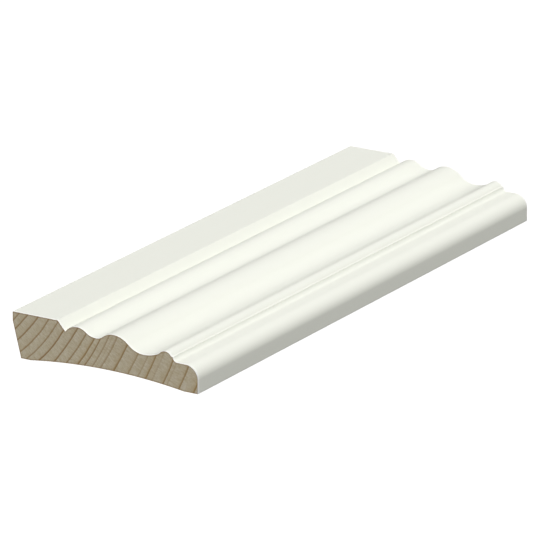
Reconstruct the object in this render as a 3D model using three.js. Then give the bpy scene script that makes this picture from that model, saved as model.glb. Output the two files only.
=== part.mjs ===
// A length of painted pine skirting board, lying on its back with the moulded face up.
// Millimetres. X runs across the board from its floor edge to its top edge, Y along its length,
// and Z out of the wall towards the room. The origin is the middle of the back, on the wall plane.
import * as THREE from "three";

// Overall size
const boardHeight = 100;
const boardThickness = 22;
const boardLength = 300;

// Floor edge: a narrow land meets the floor, and the rest leans away from it towards the wall
const floorLand = 4.4;
const undercut = THREE.MathUtils.degToRad(14);

// Hollow back between two lands that touch the wall
const hollowRadius = 300;
const hollowDepth = 2.85;
const hollowMiddle = 51;

// Moulded face: how far each feature lies from the floor edge (x) and stands off the wall (z)
const plinthTop = { x: 24.65, z: boardThickness };
const quirk = { x: 28.75, z: 17.35 };
const lowerWave = { x: 35.05, z: 20.55 };
const lowerHollow = { x: 45.2, z: 17.05 };
const upperWave = { x: 54.65, z: 20.3 };
const cove = { x: 71.05, z: 13.75 };
const bead = { x: 82.4, z: 17.4, radius: 3.9, lowerFoot: 15.7 };
const fillet = { z: 15.4, end: 86.6, foot: 15.6 };
const nose = { z: 13.1, radius: 6.5 };

// Share of the bend that the first feature of each ogee takes
const lowerFall = 0.46;
const upperRise = 0.41;
const upperFall = 0.49;

// Each arc of the outline is drawn with twice this many straight facets
const facets = 9;
const quarterTurn = Math.PI / 2;

// Radius of the arc that is level at one point and passes through another
function levelRadius(level, passed) {
  const run = passed.x - level.x;
  const rise = passed.z - level.z;
  return (run * run + rise * rise) / (2 * Math.abs(rise));
}

// Half the width of a circle's chord that lies this far from its centre
function halfChord(radius, distance) {
  return Math.sqrt(radius * radius - distance * distance);
}

// Angle of a point on a circle, seen from its centre
function angleAt(centre, point) {
  return Math.atan2(point.z - centre.z, point.x - centre.x);
}

// Two arcs in a smooth S between a crest and a trough, either way round, each level at its own end
function addOgee(outline, from, to, share) {
  const climb = Math.sign(to.z - from.z);
  const bend = levelRadius(from, to);
  const slope = Math.acos(1 - Math.abs(to.z - from.z) / bend);
  const firstRadius = bend * share;
  const lastRadius = bend - firstRadius;
  const level = climb * quarterTurn;
  outline.absarc(from.x, from.z + climb * firstRadius, firstRadius, -level, climb * slope - level, climb < 0);
  outline.absarc(to.x, to.z - climb * lastRadius, lastRadius, level + climb * slope, level, climb > 0);
}

// Floor edge, from the wall to the room
function addFloorEdge(outline) {
  const undercutHeight = boardThickness - floorLand;
  outline.moveTo(undercutHeight * Math.tan(undercut), 0);
  outline.lineTo(0, undercutHeight);
  outline.lineTo(0, boardThickness);
}

// Flat plinth, its bevel down into the quirk, and the wave that rises out of it
function addPlinth(outline) {
  const waveRadius = levelRadius(lowerWave, quirk);
  const waveCentre = { x: lowerWave.x, z: lowerWave.z - waveRadius };
  outline.lineTo(plinthTop.x, plinthTop.z);
  outline.lineTo(quirk.x, quirk.z);
  outline.absarc(waveCentre.x, waveCentre.z, waveRadius, angleAt(waveCentre, quirk), quarterTurn, true);
}

// Cove up to the bead, and the bead down to the fillet
function addBead(outline) {
  const centre = { x: bead.x, z: bead.z - bead.radius };
  const lowerFoot = { x: bead.x - halfChord(bead.radius, bead.lowerFoot - centre.z), z: bead.lowerFoot };
  const upperFoot = { x: bead.x + halfChord(bead.radius, fillet.foot - centre.z), z: fillet.foot };
  const coveRadius = levelRadius(cove, lowerFoot);
  const coveCentre = { x: cove.x, z: cove.z + coveRadius };
  outline.absarc(coveCentre.x, coveCentre.z, coveRadius, -quarterTurn, angleAt(coveCentre, lowerFoot), false);
  const beadStart = angleAt(centre, lowerFoot);
  const beadEnd = angleAt(centre, upperFoot);
  outline.absarc(centre.x, centre.z, bead.radius, beadStart, beadEnd, true);
}

// Fillet, which falls slightly away from the bead, its small quarter cove, and the round nose to the top edge
function addNose(outline) {
  const smallCove = fillet.z - nose.z;
  outline.lineTo(fillet.end, fillet.z);
  outline.absarc(fillet.end + smallCove, fillet.z, smallCove, Math.PI, 3 * quarterTurn, false);
  outline.absarc(boardHeight - nose.radius, nose.z - nose.radius, nose.radius, quarterTurn, 0, true);
  outline.lineTo(boardHeight, 0);
}

// Back, from the top edge to the floor edge: a land, the shallow hollow and the other land
function addBack(outline) {
  const centre = { x: hollowMiddle, z: hollowDepth - hollowRadius };
  const halfTurn = Math.acos(-centre.z / hollowRadius);
  outline.absarc(centre.x, centre.z, hollowRadius, quarterTurn - halfTurn, quarterTurn + halfTurn, false);
  outline.closePath();
}

// Cross-section of the board, with x from the floor edge and the shape's own y as the distance off the wall
function makeSection() {
  const section = new THREE.Shape();
  addFloorEdge(section);
  addPlinth(section);
  addOgee(section, lowerWave, lowerHollow, lowerFall);
  addOgee(section, lowerHollow, upperWave, upperRise);
  addOgee(section, upperWave, cove, upperFall);
  addBead(section);
  addNose(section);
  addBack(section);
  return section;
}

// The section run along the board and stood in place: its height on X, its thickness on Z
function makeBoard() {
  const geometry = new THREE.ExtrudeGeometry(makeSection(), {
    depth: boardLength,
    bevelEnabled: false,
    curveSegments: facets,
  });
  const whitePaint = new THREE.MeshStandardMaterial({ color: 0xf3f4ea, roughness: 0.38, metalness: 0 });
  const board = new THREE.Mesh(geometry, whitePaint);
  board.name = "skirting_board";
  board.rotation.x = quarterTurn;
  board.position.set(-boardHeight / 2, boardLength / 2, 0);
  return board;
}

const skirting = new THREE.Group();
skirting.add(makeBoard());

export default skirting;
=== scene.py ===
import itertools
import math

import bmesh
import bpy
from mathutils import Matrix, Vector


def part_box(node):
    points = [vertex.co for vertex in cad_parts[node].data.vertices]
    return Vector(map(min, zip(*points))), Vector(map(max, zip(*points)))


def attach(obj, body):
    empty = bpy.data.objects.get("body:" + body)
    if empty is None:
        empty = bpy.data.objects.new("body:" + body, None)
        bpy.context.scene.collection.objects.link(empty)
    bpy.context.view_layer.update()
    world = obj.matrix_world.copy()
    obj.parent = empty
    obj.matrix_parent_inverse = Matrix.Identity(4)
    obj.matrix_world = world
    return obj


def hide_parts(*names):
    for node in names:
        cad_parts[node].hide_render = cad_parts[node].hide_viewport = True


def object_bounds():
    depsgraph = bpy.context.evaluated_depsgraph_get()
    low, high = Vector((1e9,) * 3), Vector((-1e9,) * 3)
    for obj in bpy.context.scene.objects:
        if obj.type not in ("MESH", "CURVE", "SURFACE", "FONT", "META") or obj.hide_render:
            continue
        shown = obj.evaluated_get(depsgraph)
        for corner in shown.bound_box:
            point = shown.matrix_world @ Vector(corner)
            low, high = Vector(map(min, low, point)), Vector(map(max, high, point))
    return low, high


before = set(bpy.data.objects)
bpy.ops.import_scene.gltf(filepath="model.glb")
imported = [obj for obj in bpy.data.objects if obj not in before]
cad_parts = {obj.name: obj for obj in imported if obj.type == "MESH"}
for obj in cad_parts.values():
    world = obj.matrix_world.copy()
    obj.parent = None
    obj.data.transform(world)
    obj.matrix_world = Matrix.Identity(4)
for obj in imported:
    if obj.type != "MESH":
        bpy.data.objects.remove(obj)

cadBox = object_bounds()
nodeName = "skirting_board"
mm = 0.001
halfLength = (cadBox[1].y - cadBox[0].y) / 2 / mm      # from the middle of the board to each saw cut


# Camera

cameraSetup = {
    "place": (1.6058, -2.6184, 1.0191),        # metres
    "azimuth": 31.588,                         # degrees round from the near cut
    "elevation": 18.215,                       # degrees down onto the board
    "lens": 457.8,                             # millimetres, and the sensor too
    "sensor": 36.0,
    "reach": 50.0,                             # metres
}


def makeCamera(setup):
    data = bpy.data.cameras.new("boardCamera")
    data.lens = setup["lens"]
    data.sensor_width = setup["sensor"]
    data.clip_end = setup["reach"]
    camera = bpy.data.objects.new("boardCamera", data)
    bpy.context.scene.collection.objects.link(camera)
    turn = math.radians(setup["azimuth"])
    drop = math.radians(setup["elevation"])
    forward = Vector((-math.sin(turn) * math.cos(drop), math.cos(turn) * math.cos(drop), -math.sin(drop)))
    camera.location = setup["place"]
    camera.rotation_mode = "QUATERNION"
    camera.rotation_quaternion = forward.to_track_quat("-Z", "Y")
    bpy.context.scene.camera = camera


# Board mesh: a moving tip draws the section in millimetres, x from the floor edge and z off the wall

boardSetup = {
    "floorLand": 4.4,              # strip that meets the floor
    "undercut": 14.0,              # degrees, rest of the floor edge
    "plinthTop": (24.65, 22.0),
    "quirk": (28.75, 17.35),
    "lowerWave": (35.05, 20.55),
    "lowerHollow": (45.2, 17.05),
    "upperWave": (54.65, 20.3),
    "cove": (71.05, 13.75),
    "lowerFall": 0.46,             # share of each ogee's bend that its first end takes
    "upperRise": 0.41,
    "upperFall": 0.49,
    "bead": (82.4, 17.4),
    "beadRadius": 3.9,
    "beadFoot": 15.7,
    "filletFoot": 15.6,            # level where the fillet leaves the bead
    "filletLevel": 15.4,           # and where it ends
    "filletEnd": 86.6,
    "noseLevel": 13.1,
    "noseRadius": 6.5,
    "hollowRadius": 300.0,
    "hollowDepth": 2.85,
    "hollowMiddle": 51.0,
    "facet": 0.35,                 # longest chord on a tight arc
    "span": 1.0,                   # longest piece of a straight stretch or of the hollow back
    "cornerEase": 0.3,             # radius of the softened arrises of the section
    "cornerSteps": 5,
    "cornerRoom": 0.8,             # share of the stretch beside an arris that it may take
    "sharpTurn": 20.0,             # degrees, a bend above this counts as an arris
    "endEase": 0.09,               # softened edge round the saw cut, into the section
    "endRun": 0.4,                 # and along the length
    "endSteps": 3,
    "filmWidth": 0.04,             # paint film seen edge on at the cut
    "noseFilm": 0.2,               # extra film round the nose, where more paint settled
    "noseFilmRun": 2.0,            # length over which it builds up
    "endStrip": 1.5,               # first strip behind each cut, keeps the long faces flat in shading
    "crease": 30.0,                # degrees, edges above this stay sharp in shading
    "bareBelow": -0.6,             # faces that look this far down are the unpainted back
}


def stepTo(bm, tip, x, z):
    tip = bmesh.ops.extrude_vert_indiv(bm, verts=[tip])["verts"][0]
    bmesh.ops.translate(bm, verts=[tip], vec=Vector((x, 0, z)) - tip.co)
    return tip


def lineTo(bm, tip, x, z, span):
    start = tip.co.copy()
    pieces = max(1, round((Vector((x, 0, z)) - start).length / span))
    for piece in range(1, pieces + 1):
        share = piece / pieces
        tip = stepTo(bm, tip, start.x + (x - start.x) * share, start.z + (z - start.z) * share)
    return tip


def arcRound(bm, tip, centre, angle, chord, fewest=4):      # a positive angle turns from +z towards +x
    middle = Vector((centre[0], 0, centre[1]))
    steps = max(fewest, math.ceil(abs(angle) * (tip.co - middle).length / chord))
    swept = bmesh.ops.spin(bm, geom=[tip], cent=middle, axis=(0, 1, 0), angle=angle, steps=steps)
    return next(item for item in swept["geom_last"] if isinstance(item, bmesh.types.BMVert))


def levelRadius(level, passed):                   # arc that is level at one point and passes another
    run = passed[0] - level[0]
    rise = passed[1] - level[1]
    return (run * run + rise * rise) / (2 * abs(rise))


def ogeeTo(bm, tip, end, share, chord):           # two arcs in an S, each level at its own end
    start = (tip.co.x, tip.co.z)
    rise = end[1] - start[1]
    bend = levelRadius(start, end)
    slope = math.copysign(math.acos(1 - abs(rise) / bend), rise)
    firstRadius = math.copysign(bend * share, rise)
    lastRadius = math.copysign(bend * (1 - share), rise)
    tip = arcRound(bm, tip, (start[0], start[1] + firstRadius), -slope, chord)
    return arcRound(bm, tip, (end[0], end[1] - lastRadius), slope, chord)


def angleOn(centre, point):                       # turned from +z towards +x
    return math.atan2(point[0] - centre[0], point[1] - centre[1])


def drawPlinth(bm, setup, thickness):             # floor edge, plinth, bevel and the wave out of the quirk
    landTop = thickness - setup["floorLand"]
    first = bm.verts.new((landTop * math.tan(math.radians(setup["undercut"])), 0, 0))
    tip = lineTo(bm, first, 0, landTop, setup["span"])
    tip = lineTo(bm, tip, 0, thickness, setup["span"])
    tip = lineTo(bm, tip, *setup["plinthTop"], setup["span"])
    tip = lineTo(bm, tip, *setup["quirk"], setup["span"])
    wave = setup["lowerWave"]
    centre = (wave[0], wave[1] - levelRadius(wave, setup["quirk"]))
    return first, arcRound(bm, tip, centre, -angleOn(centre, setup["quirk"]), setup["facet"])


def drawWaves(bm, tip, setup):
    tip = ogeeTo(bm, tip, setup["lowerHollow"], setup["lowerFall"], setup["facet"])
    tip = ogeeTo(bm, tip, setup["upperWave"], setup["upperRise"], setup["facet"])
    return ogeeTo(bm, tip, setup["cove"], setup["upperFall"], setup["facet"])


def drawBead(bm, tip, setup):                     # cove up to the bead, bead down to the fillet
    x, top = setup["bead"]
    radius = setup["beadRadius"]
    centre = (x, top - radius)
    cove = setup["cove"]
    lowFoot = (x - math.sqrt(radius ** 2 - (setup["beadFoot"] - centre[1]) ** 2), setup["beadFoot"])
    highFoot = (x + math.sqrt(radius ** 2 - (setup["filletFoot"] - centre[1]) ** 2), setup["filletFoot"])
    coveCentre = (cove[0], cove[1] + levelRadius(cove, lowFoot))
    tip = arcRound(bm, tip, coveCentre, angleOn(coveCentre, lowFoot) - math.pi, setup["facet"])
    return arcRound(bm, tip, centre, angleOn(centre, highFoot) - angleOn(centre, lowFoot), setup["facet"])


def drawNose(bm, tip, setup, height):             # fillet, small quarter cove, round nose and top edge
    fillet = setup["filletEnd"]
    level = setup["noseLevel"]
    drop = setup["filletLevel"] - level
    nose = setup["noseRadius"]
    tip = lineTo(bm, tip, fillet, setup["filletLevel"], setup["span"])
    tip = arcRound(bm, tip, (fillet + drop, setup["filletLevel"]), -math.pi / 2, setup["facet"])
    tip = lineTo(bm, tip, height - nose, level, setup["span"])
    tip = arcRound(bm, tip, (height - nose, level - nose), math.pi / 2, setup["facet"])
    return lineTo(bm, tip, height, 0, setup["span"])


def drawBack(bm, tip, setup, first):              # land, shallow hollow and the other land
    radius = setup["hollowRadius"]
    below = radius - setup["hollowDepth"]
    half = math.acos(below / radius)
    tip = lineTo(bm, tip, setup["hollowMiddle"] + radius * math.sin(half), 0, setup["span"])
    tip = arcRound(bm, tip, (setup["hollowMiddle"], -below), -2 * half, setup["span"])
    tip = lineTo(bm, tip, first.co.x, 0, setup["span"])
    bmesh.ops.pointmerge(bm, verts=[first, tip], merge_co=first.co)


def easeCorners(bm, section, setup):              # one radius on every outer arris of the section
    sharpest = math.pi - math.radians(setup["sharpTurn"])
    trims = {}
    for loop in section.loops:
        angle = loop.calc_angle()
        if loop.is_convex and angle < sharpest:
            room = min(edge.calc_length() for edge in loop.vert.link_edges)
            trims[loop.vert] = min(setup["cornerEase"] / math.tan(angle / 2), setup["cornerRoom"] * room)
    for corner, trim in trims.items():
        bmesh.ops.bevel(bm, geom=[corner], offset=trim, offset_type="ABSOLUTE", segments=setup["cornerSteps"],
                        profile=0.5, affect="VERTICES", material=-1, clamp_overlap=True)


def drawSection(bm, setup, size):
    first, tip = drawPlinth(bm, setup, size.z)
    tip = drawWaves(bm, tip, setup)
    tip = drawBead(bm, tip, setup)
    tip = drawNose(bm, tip, setup, size.x)
    drawBack(bm, tip, setup, first)
    section = bmesh.ops.contextual_create(bm, geom=bm.edges[:])["faces"][0]
    easeCorners(bm, section, setup)
    return next(iter(bm.faces))                   # still the only face


def runAlong(bm, near, run, strip):               # the section drawn out into the board
    swept = bmesh.ops.extrude_face_region(bm, geom=[near], use_keep_orig=True)["geom"]
    far = next(item for item in swept if isinstance(item, bmesh.types.BMFace))
    bmesh.ops.translate(bm, verts=far.verts[:], vec=(0, run, 0))
    bmesh.ops.recalc_face_normals(bm, faces=bm.faces[:])
    for place in (strip, run - strip):
        bmesh.ops.bisect_plane(bm, geom=bm.verts[:] + bm.edges[:] + bm.faces[:],
                               plane_co=(0, place, 0), plane_no=(0, 1, 0))
    return far


def insetRing(bm, cap, width, rise, order):       # bare wood beside bare wood; beside paint the film, whiter as a painted highlight
    inset = bmesh.ops.inset_region(bm, faces=[cap], thickness=width, depth=rise, use_even_offset=True)
    inside = set(inset["faces"]) | {cap}
    for face in inset["faces"]:
        outer = next(near for edge in face.edges for near in edge.link_faces if near not in inside)
        bare = outer.material_index == order.index("back")
        face.material_index = order.index("back" if bare else "film")


def easeEnd(bm, cap, setup, order):               # softened edge at the saw cut, then the film's thickness
    angles = [math.pi / 2 * step / setup["endSteps"] for step in range(setup["endSteps"] + 1)]
    for before, after in itertools.pairwise(angles):
        insetRing(bm, cap, setup["endEase"] * (math.cos(before) - math.cos(after)),
                  setup["endRun"] * (math.sin(after) - math.sin(before)), order)
    insetRing(bm, cap, setup["filmWidth"], 0, order)


def thickenNoseFilm(bm, cap, setup, height):      # the bare wood draws back from the nose and top edge
    noseX = height - setup["noseRadius"]
    noseZ = setup["noseLevel"] - setup["noseRadius"]
    for vert in cap.verts:
        past = vert.co.x - noseX
        if past > 0:
            outwards = Vector((past, 0, max(vert.co.z - noseZ, 0))).normalized()
            extra = setup["noseFilm"] * min(past / setup["noseFilmRun"], 1)
            bmesh.ops.translate(bm, verts=[vert], vec=-extra * outwards)


def makeBoard(setup, order):                      # order of the finishes in the board's material slots
    low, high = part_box(nodeName)
    size = (high - low) / mm
    bm = bmesh.new()
    near = drawSection(bm, setup, size)
    far = runAlong(bm, near, size.y - 2 * setup["endRun"], setup["endStrip"])
    for face in bm.faces:
        face.material_index = order.index("back" if face.normal.z < setup["bareBelow"] else "paint")
    for cap in (near, far):
        easeEnd(bm, cap, setup, order)
        thickenNoseFilm(bm, cap, setup, size.x)
        cap.material_index = order.index("end")
    bmesh.ops.translate(bm, verts=bm.verts[:], vec=(-size.x / 2, setup["endRun"] - size.y / 2, 0))
    bmesh.ops.scale(bm, verts=bm.verts[:], vec=(mm, mm, mm))
    mesh = bpy.data.meshes.new("paintedBoard")
    bm.to_mesh(mesh)
    bm.free()
    mesh.shade_smooth()
    mesh.set_sharp_from_angle(angle=math.radians(setup["crease"]))
    board = bpy.data.objects.new("painted_board", mesh)
    bpy.context.scene.collection.objects.link(board)
    return board


# Shader helpers: a socket is linked, a plain number or colour is set

def feed(tree, socket, value):
    if isinstance(value, bpy.types.NodeSocket):
        tree.links.new(value, socket)
    else:
        socket.default_value = value


def calc(tree, operation, *values):
    node = tree.nodes.new("ShaderNodeMath")
    node.operation = operation
    for socket, value in zip(node.inputs, values):
        feed(tree, socket, value)
    return node.outputs[0]


def spread(tree, value, low, high, lowOut=0.0, highOut=1.0):
    node = tree.nodes.new("ShaderNodeMapRange")
    for name, number in (("Value", value), ("From Min", low), ("From Max", high),
                         ("To Min", lowOut), ("To Max", highOut)):
        feed(tree, node.inputs[name], number)
    return node.outputs["Result"]


def axes(tree, vector):
    node = tree.nodes.new("ShaderNodeSeparateXYZ")
    feed(tree, node.inputs[0], vector)
    return node.outputs


def combine(tree, x, y, z):
    node = tree.nodes.new("ShaderNodeCombineXYZ")
    for socket, value in zip(node.inputs, (x, y, z)):
        feed(tree, socket, value)
    return node.outputs[0]


def distance(tree, dx, dz):
    return calc(tree, "SQRT", calc(tree, "MULTIPLY_ADD", dx, dx, calc(tree, "MULTIPLY", dz, dz)))


def stretched(tree, vector, scale, shift=(0, 0, 0)):
    node = tree.nodes.new("ShaderNodeMapping")
    feed(tree, node.inputs["Vector"], vector)
    feed(tree, node.inputs["Scale"], scale)
    feed(tree, node.inputs["Location"], shift)
    return node.outputs[0]


def speckle(tree, vector, detail=2.0, roughness=0.5):
    node = tree.nodes.new("ShaderNodeTexNoise")
    feed(tree, node.inputs["Vector"], vector)
    feed(tree, node.inputs["Scale"], 1.0)
    feed(tree, node.inputs["Detail"], detail)
    feed(tree, node.inputs["Roughness"], roughness)
    return node.outputs["Fac"]


def sway(tree, vector, detail=2.0):               # a speckle to either side of zero
    return calc(tree, "SUBTRACT", speckle(tree, vector, detail), 0.5)


def wave(tree, value, pitch):
    return calc(tree, "SINE", calc(tree, "MULTIPLY", value, 2 * math.pi / pitch))


def blendColours(tree, share, first, second):
    node = tree.nodes.new("ShaderNodeMix")
    node.data_type = "RGBA"
    feed(tree, node.inputs["Factor"], share)
    feed(tree, node.inputs["A"], first)
    feed(tree, node.inputs["B"], second)
    return node.outputs["Result"]


def curveThrough(tree, value, points):            # straight pieces, both ways from 0 to 1
    node = tree.nodes.new("ShaderNodeFloatCurve")
    curve = node.mapping.curves[0]
    for x, y in points[1:-1]:
        curve.points.new(x, y)
    curve.points[0].location = points[0]
    curve.points[-1].location = points[-1]
    for point in curve.points:
        point.handle_type = "VECTOR"
    node.mapping.update()
    feed(tree, node.inputs["Value"], value)
    return node.outputs["Value"]


def scaled(tree, vector, factor):
    node = tree.nodes.new("ShaderNodeVectorMath")
    node.operation = "SCALE"
    feed(tree, node.inputs[0], vector)
    feed(tree, node.inputs["Scale"], factor)
    return node.outputs[0]


def boardPosition(tree):                          # millimetres in the board's own frame
    return scaled(tree, tree.nodes.new("ShaderNodeTexCoord").outputs["Object"], 1 / mm)


# Growth of the tree that the board was sawn from, shared by the cut ends, the back and the paint

pineSetup = {
    "pith": (-105.5, 71.8),        # middle of the trunk at the near cut, x and z in the board's frame
    "lean": (0.010, -0.006),       # how far it moves for each millimetre along the board
    "firstYear": 73.9,             # radius where the innermost year of the board starts
    "years": (4.0, 3.5, 4.6, 5.0, 4.4, 4.5, 5.2, 4.8, 4.5, 2.7, 3.4, 1.5, 2.1, 6.2, 6.5, 4.8, 3.7, 3.1, 5.6,
              1.9, 6.2, 7.3, 7.0),             # width of each year's growth, outwards
    "depth": (0.6, 0.6, 0.7, 0.75, 0.65, 0.6, 0.9, 0.8, 0.65, 0.75, 0.75, 0.45, 0.05, 0.5, 0.7, 0.45, 0.25,
              0.7, 0.1, 0.7, 0.05, 0.65, 0.65, 0.65),      # how dark the late wood at each edge is
    "lateReach": 3.0,              # how far the late wood fades back into its year
    "lateFade": ((0.0, 0.9), (0.05, 1.0), (0.18, 0.95), (0.24, 0.4), (0.31, 0.06), (1.0, 0.0)),
    "summer": (0.5, 0.5, 0.55, 0.5, 0.45, 0.3, 0.55, 0.4, 0.4, 0.9, 0.4, 0.35, 0.15, 0.3, 0.85, 0.5, 0.4,
               1.0, 0.15, 0.75, 0.3, 0.7, 1.0, 0.7),       # how honey-coloured the wood before each edge is
    "summerReach": (2.0, 6.0),     # where it is palest and where it is deepest
    "summerFade": ((0.0, 1.0), (0.1, 0.75), (0.2, 0.5), (0.3, 0.33), (0.45, 0.2), (0.7, 0.08), (1.0, 0.0)),
    "wander": 1.0,                 # waviness of the rings across the board
    "wanderScale": (0.07, 0.012, 0.07),        # per millimetre along x, y and z, as the other scales
    "drift": 5.0,                  # slow swing of the rings along it
    "driftBuild": 120.0,           # length from the near cut over which it builds up
    "driftScale": (0.012, 0.011, 0.0),
    "driftPlace": (0.0, 1.65, 3.7),
    "rayPitch": 0.8,               # rays run square to the rings
    "rayLength": 3.0,
    "rayHeight": 5.0,
    "rayRange": (0.3, 0.7),        # part of the noise that a ray takes up
    "fibreScale": (2.5, 0.05, 2.5),
    "toneScale": (0.05, 0.008, 0.05),
}


def trunkPlace(tree, setup, position):            # distance from the pith and the turn round it
    x, y, z = axes(tree, position)
    along = calc(tree, "ADD", y, halfLength)
    dx = calc(tree, "SUBTRACT", x, calc(tree, "MULTIPLY_ADD", along, setup["lean"][0], setup["pith"][0]))
    dz = calc(tree, "SUBTRACT", z, calc(tree, "MULTIPLY_ADD", along, setup["lean"][1], setup["pith"][1]))
    return along, distance(tree, dx, dz), calc(tree, "ARCTAN2", dz, dx)


def wavyRing(tree, setup, position, along, radius):
    wander = sway(tree, stretched(tree, position, setup["wanderScale"]), detail=3.0)
    drift = sway(tree, stretched(tree, position, setup["driftScale"], setup["driftPlace"]))
    reach = spread(tree, along, 0, setup["driftBuild"], 0, setup["drift"])
    ring = calc(tree, "MULTIPLY_ADD", wander, setup["wander"], radius)
    return calc(tree, "MULTIPLY_ADD", drift, reach, ring)


def growthYears(tree, setup, ring, edges):        # late wood, summer wood, and a wave once a year
    widest = max(setup["years"])
    count = len(setup["years"])
    whole = spread(tree, ring, edges[0], edges[-1])
    shares = [(edge - edges[0]) / (edges[-1] - edges[0]) for edge in edges]
    counted = [index / count for index in range(count + 1)]
    widths = [width / widest for width in setup["years"][:1] + setup["years"]]
    year = calc(tree, "MULTIPLY", curveThrough(tree, whole, list(zip(shares, counted))), count)
    width = calc(tree, "MULTIPLY", curveThrough(tree, whole, list(zip(shares, widths))), widest)
    left = calc(tree, "MULTIPLY", calc(tree, "SUBTRACT", 1.0, calc(tree, "FRACT", year)), width)
    late = curveThrough(tree, calc(tree, "DIVIDE", left, setup["lateReach"]), setup["lateFade"])
    depth = curveThrough(tree, whole, list(zip(shares, setup["depth"])))
    warmth = curveThrough(tree, whole, list(zip(shares, setup["summer"])))
    reach = spread(tree, warmth, 0, 1, *setup["summerReach"])
    summer = curveThrough(tree, calc(tree, "DIVIDE", left, reach), setup["summerFade"])
    return calc(tree, "MULTIPLY", late, depth), calc(tree, "MULTIPLY", summer, warmth), wave(tree, year, 1)


def pineFigure(setup):
    tree = bpy.data.node_groups.new("pineFigure", "ShaderNodeTree")
    tree.interface.new_socket("Position", in_out="INPUT", socket_type="NodeSocketVector")
    position = tree.nodes.new("NodeGroupInput").outputs["Position"]
    along, radius, turn = trunkPlace(tree, setup, position)
    ring = wavyRing(tree, setup, position, along, radius)
    edges = list(itertools.accumulate(setup["years"], initial=setup["firstYear"]))
    late, summer, season = growthYears(tree, setup, ring, edges)
    middle = (edges[0] + edges[-1]) / 2
    ray = speckle(tree, combine(tree, calc(tree, "MULTIPLY", turn, middle / setup["rayPitch"]),
                                calc(tree, "DIVIDE", radius, setup["rayLength"]),
                                calc(tree, "DIVIDE", axes(tree, position)["Y"], setup["rayHeight"])))
    figure = {
        "Late": late,
        "Summer": summer,
        "Season": season,
        "Ray": spread(tree, ray, *setup["rayRange"]),
        "Fibre": speckle(tree, stretched(tree, position, setup["fibreScale"]), detail=3.0, roughness=0.6),
        "Tone": speckle(tree, stretched(tree, position, setup["toneScale"])),
    }
    result = tree.nodes.new("NodeGroupOutput")
    for name, value in figure.items():
        tree.interface.new_socket(name, in_out="OUTPUT", socket_type="NodeSocketFloat")
        feed(tree, result.inputs[name], value)
    return tree


# Finishes

def newMaterial(name):
    material = bpy.data.materials.new(name)
    material.use_nodes = True
    tree = material.node_tree
    return material, tree, tree.nodes["Principled BSDF"]


def figureOf(tree, group, position):
    node = tree.nodes.new("ShaderNodeGroup")
    node.node_tree = group
    feed(tree, node.inputs["Position"], position)
    return node.outputs


def addRelief(tree, shader, height, depth):       # a few thousandths of a millimetre
    bump = tree.nodes.new("ShaderNodeBump")
    feed(tree, bump.inputs["Strength"], 1.0)
    feed(tree, bump.inputs["Distance"], depth)
    feed(tree, bump.inputs["Height"], height)
    feed(tree, shader.inputs["Normal"], bump.outputs[0])


woodSetup = {
    "speckRange": (0.45, 0.75),    # part of the fibre noise that darkens the wood
    "cloudRange": (0.35, 0.65),    # part of the tone noise that does
}


def woodColour(tree, figure, setup):
    colour = blendColours(tree, figure["Ray"], setup["early"], setup["ray"])
    colour = blendColours(tree, figure["Summer"], colour, setup["summer"])
    colour = blendColours(tree, figure["Late"], colour, setup["late"])
    specks = spread(tree, figure["Fibre"], *woodSetup["speckRange"], 0.0, setup["fibreDepth"])
    clouds = spread(tree, figure["Tone"], *woodSetup["cloudRange"], 0.0, setup["toneDepth"])
    return blendColours(tree, calc(tree, "ADD", specks, clouds), colour, setup["late"])


endSetup = {
    "early": (0.665, 0.581, 0.386, 1),         # spring wood between the rays
    "ray": (0.815, 0.750, 0.597, 1),
    "summer": (0.585, 0.432, 0.191, 1),
    "late": (0.352, 0.206, 0.082, 1),
    "fibreDepth": 0.32,
    "toneDepth": 0.06,
    "roughness": (0.82, 0.72),     # spring wood, late wood
    "rimReach": 1.0,               # wood darkened along the outline of the cut, out to this distance
    "rimRange": (0.5, 1.0),
    "rimDepth": 0.9,
    "sawCentre": (40.0, -190.0),   # middle of the saw blade, x and z
    "sawPitch": 1.3,
    "sawDepth": 4e-6,              # metres
    "fibreRelief": 3.0,            # heights against that of a saw mark
    "lateRelief": 1.5,
}


def sawnEnd(setup, group):
    material, tree, shader = newMaterial("sawnEnd")
    position = boardPosition(tree)
    figure = figureOf(tree, group, position)
    rim = tree.nodes.new("ShaderNodeAmbientOcclusion")
    rim.inside = True                             # from inside the wood, the paint is near along the outline
    rim.only_local = True
    feed(tree, rim.inputs["Distance"], setup["rimReach"] * mm)
    # the wood darkened near the outline of the cut, by the occlusion node's measure
    outlineDarkening = spread(tree, rim.outputs["AO"], *setup["rimRange"], setup["rimDepth"], 0.0)
    colour = blendColours(tree, outlineDarkening, woodColour(tree, figure, setup), setup["late"])
    feed(tree, shader.inputs["Base Color"], colour)
    feed(tree, shader.inputs["Roughness"], spread(tree, figure["Late"], 0, 1, *setup["roughness"]))
    place = axes(tree, position)
    dx = calc(tree, "SUBTRACT", place["X"], setup["sawCentre"][0])
    dz = calc(tree, "SUBTRACT", place["Z"], setup["sawCentre"][1])
    tooth = wave(tree, distance(tree, dx, dz), setup["sawPitch"])
    late = calc(tree, "MULTIPLY", figure["Late"], setup["lateRelief"])
    grain = calc(tree, "MULTIPLY_ADD", figure["Fibre"], setup["fibreRelief"], late)
    addRelief(tree, shader, calc(tree, "ADD", tooth, grain), setup["sawDepth"])
    return material


backSetup = {
    "early": (0.69, 0.57, 0.38, 1),
    "ray": (0.72, 0.605, 0.415, 1),
    "summer": (0.60, 0.44, 0.24, 1),
    "late": (0.44, 0.29, 0.14, 1),
    "fibreDepth": 0.22,
    "toneDepth": 0.14,
    "roughness": (0.56, 0.68),     # over this part of the fibre noise
    "roughnessRange": (0.3, 0.7),
    "planerPitch": 1.6,
    "planerDepth": 3e-6,           # metres
    "fibreRelief": 3.0,            # heights against that of a planer mark
    "lateRelief": 4.0,
}


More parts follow.
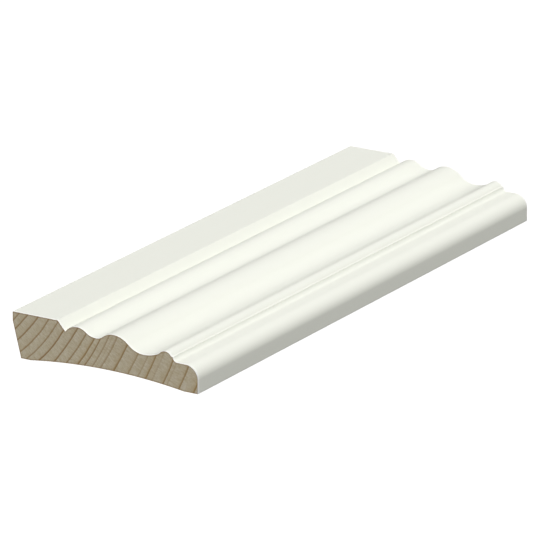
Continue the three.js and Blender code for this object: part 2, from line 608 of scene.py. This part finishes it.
def planedBack(setup, group):
    material, tree, shader = newMaterial("planedBack")
    position = boardPosition(tree)
    figure = figureOf(tree, group, position)
    roughness = spread(tree, figure["Fibre"], *setup["roughnessRange"], *setup["roughness"])
    feed(tree, shader.inputs["Base Color"], woodColour(tree, figure, setup))
    feed(tree, shader.inputs["Roughness"], roughness)
    knife = wave(tree, axes(tree, position)["Y"], setup["planerPitch"])
    fibre = calc(tree, "MULTIPLY", figure["Fibre"], setup["fibreRelief"])
    grain = calc(tree, "MULTIPLY_ADD", figure["Late"], setup["lateRelief"], fibre)
    addRelief(tree, shader, calc(tree, "ADD", knife, grain), setup["planerDepth"])
    return material


paintSetup = {
    "colour": (0.820, 0.832, 0.755, 1),
    "shade": (0.808, 0.818, 0.738, 1),
    "cutEdgeHighlight": (0.910, 0.915, 0.850, 1),        # painted highlight: a whiter strip of paint beside the saw cuts
    "cutEdgeHighlightReach": (1.6, 0.6),     # distance from the cut where it starts and where it is full
    "roughness": (0.42, 0.48),     # over this part of the peel noise
    "roughnessRange": (0.3, 0.7),
    "peelPitch": 1.5,
    "peelDepth": 4e-6,             # metres
    "grainDepth": 3e-6,
}


def whitePaint(setup, group):
    material, tree, shader = newMaterial("whitePaint")
    position = boardPosition(tree)
    figure = figureOf(tree, group, position)
    peel = speckle(tree, scaled(tree, position, 1 / setup["peelPitch"]), detail=1.0)
    fromCut = calc(tree, "SUBTRACT", halfLength, calc(tree, "ABSOLUTE", axes(tree, position)["Y"]))
    # painted highlight: the paint turns whiter close to each cut
    cutEdgeHighlight = spread(tree, fromCut, *setup["cutEdgeHighlightReach"])
    colour = blendColours(tree, figure["Tone"], setup["colour"], setup["shade"])
    roughness = spread(tree, peel, *setup["roughnessRange"], *setup["roughness"])
    feed(tree, shader.inputs["Base Color"], blendColours(tree, cutEdgeHighlight, colour, setup["cutEdgeHighlight"]))
    feed(tree, shader.inputs["Roughness"], roughness)
    grain = calc(tree, "MULTIPLY", figure["Season"], setup["grainDepth"] / setup["peelDepth"])
    addRelief(tree, shader, calc(tree, "ADD", peel, grain), setup["peelDepth"])
    return material


# Film at the cuts, whiter than the paint: partly the real paint film, partly a painted highlight along the
# cut edge
filmSetup = {
    "colour": (0.93, 0.93, 0.90, 1),
    "shade": (0.88, 0.88, 0.84, 1),
    "roughness": (0.7, 0.8),
    "chipPitch": 0.8,
    "chipRange": (0.35, 0.65),     # part of the noise between the two colours
}


def filmWithPaintedHighlight(setup):                            # paint film and softened edge at the cuts, whiter than the paint: a painted highlight
    material, tree, shader = newMaterial("filmWithPaintedHighlight")
    chips = speckle(tree, scaled(tree, boardPosition(tree), 1 / setup["chipPitch"]), detail=3.0)
    chips = spread(tree, chips, *setup["chipRange"])
    feed(tree, shader.inputs["Base Color"], blendColours(tree, chips, setup["colour"], setup["shade"]))
    feed(tree, shader.inputs["Roughness"], spread(tree, chips, 0, 1, *setup["roughness"]))
    return material


# Studio: pale floor, two soft lamps, a wide soft window beyond the far cut, and a lamp for the back

studioSetup = {
    "lamps": {                     # degrees off straight up towards the top edge, and strength
        "keyLight": (50.0, 0.573),
        "topLight": (5.0, 0.308),
    },
    "lean": 28.0,                  # degrees, both lamps towards the near cut
    "softness": 25.0,              # degrees across
    "underLight": (-0.75, 0.15, -0.65),        # where it stands: low down beyond the floor edge
    "underPower": 0.75,
    "window": 2.83,                # brightest half way up beyond the far cut
    "fill": 0.137,                 # faint light along the length, from both ends
    "floorHalf": 6.0,              # metres
    "floorDrop": 0.0002,           # metres below the board, so that the two never share a plane
    "floorGlow": 1.1,
}


def makeFloor(setup):
    bm = bmesh.new()
    bmesh.ops.create_grid(bm, x_segments=2, y_segments=2, size=setup["floorHalf"])
    bmesh.ops.translate(bm, verts=bm.verts[:], vec=(0, 0, -setup["floorDrop"]))
    mesh = bpy.data.meshes.new("paleFloor")
    bm.to_mesh(mesh)
    bm.free()
    floor = bpy.data.objects.new("pale_floor", mesh)
    bpy.context.scene.collection.objects.link(floor)
    mesh.materials.append(paleGlow(setup))
    floor.visible_diffuse = False                 # it lights nothing: the studio's own light does that
    floor.visible_glossy = False
    floor.visible_shadow = False


def paleGlow(setup):                              # clear from below, so that the back can be seen
    material, tree, shader = newMaterial("paleFloor")
    feed(tree, shader.inputs["Base Color"], (0, 0, 0, 1))
    feed(tree, shader.inputs["Roughness"], 1.0)
    feed(tree, shader.inputs["Specular IOR Level"], 0.0)
    feed(tree, shader.inputs["Emission Color"], (1, 1, 1, 1))
    feed(tree, shader.inputs["Emission Strength"], setup["floorGlow"])
    clear = tree.nodes.new("ShaderNodeBsdfTransparent")
    mix = tree.nodes.new("ShaderNodeMixShader")
    feed(tree, mix.inputs["Fac"], tree.nodes.new("ShaderNodeNewGeometry").outputs["Backfacing"])
    feed(tree, mix.inputs[1], shader.outputs[0])
    feed(tree, mix.inputs[2], clear.outputs[0])
    feed(tree, tree.nodes["Material Output"].inputs["Surface"], mix.outputs[0])
    return material


def makeSun(name, towards, power, softness):
    data = bpy.data.lights.new(name, "SUN")
    data.energy = power * math.pi
    data.angle = math.radians(softness)
    sun = bpy.data.objects.new(name, data)
    sun.rotation_mode = "QUATERNION"
    sun.rotation_quaternion = Vector(towards).to_track_quat("Z", "Y")
    bpy.context.scene.collection.objects.link(sun)


def makeSky(setup):
    world = bpy.data.worlds.new("studioSky")
    world.use_nodes = True
    tree = world.node_tree
    towards = axes(tree, tree.nodes.new("ShaderNodeTexCoord").outputs["Generated"])
    above = calc(tree, "MAXIMUM", towards["Z"], 0.0)
    beyond = calc(tree, "MAXIMUM", towards["Y"], 0.0)
    window = calc(tree, "MULTIPLY", calc(tree, "MULTIPLY", above, beyond), setup["window"])
    glow = calc(tree, "MULTIPLY_ADD", calc(tree, "ABSOLUTE", towards["Y"]), setup["fill"], window)
    seen = tree.nodes.new("ShaderNodeLightPath").outputs["Is Camera Ray"]      # plain white to the camera
    feed(tree, tree.nodes["Background"].inputs["Strength"], calc(tree, "MAXIMUM", glow, seen))
    feed(tree, tree.nodes["Background"].inputs["Color"], (1, 1, 1, 1))
    bpy.context.scene.world = world


def makeStudio(setup):
    lean = math.radians(setup["lean"])
    for name, (degrees, power) in setup["lamps"].items():
        tilt = math.radians(degrees)
        towards = (math.sin(tilt) * math.cos(lean), -math.sin(lean), math.cos(tilt) * math.cos(lean))
        makeSun(name, towards, power, setup["softness"])
    makeSun("underLight", setup["underLight"], setup["underPower"], setup["softness"])
    makeSky(setup)
    makeFloor(setup)
    bpy.context.scene.view_settings.view_transform = "Standard"


makeCamera(cameraSetup)
print("camera ready")

growth = pineFigure(pineSetup)
finishes = {
    "paint": whitePaint(paintSetup, growth),
    "back": planedBack(backSetup, growth),
    "end": sawnEnd(endSetup, growth),
    "film": filmWithPaintedHighlight(filmSetup),
}
print("finishes:", ", ".join(finishes))

board = makeBoard(boardSetup, list(finishes))
for finish in finishes.values():
    board.data.materials.append(finish)
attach(board, "root")
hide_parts(nodeName)
print("board:", len(board.data.polygons), "faces")

makeStudio(studioSetup)
print("studio ready")
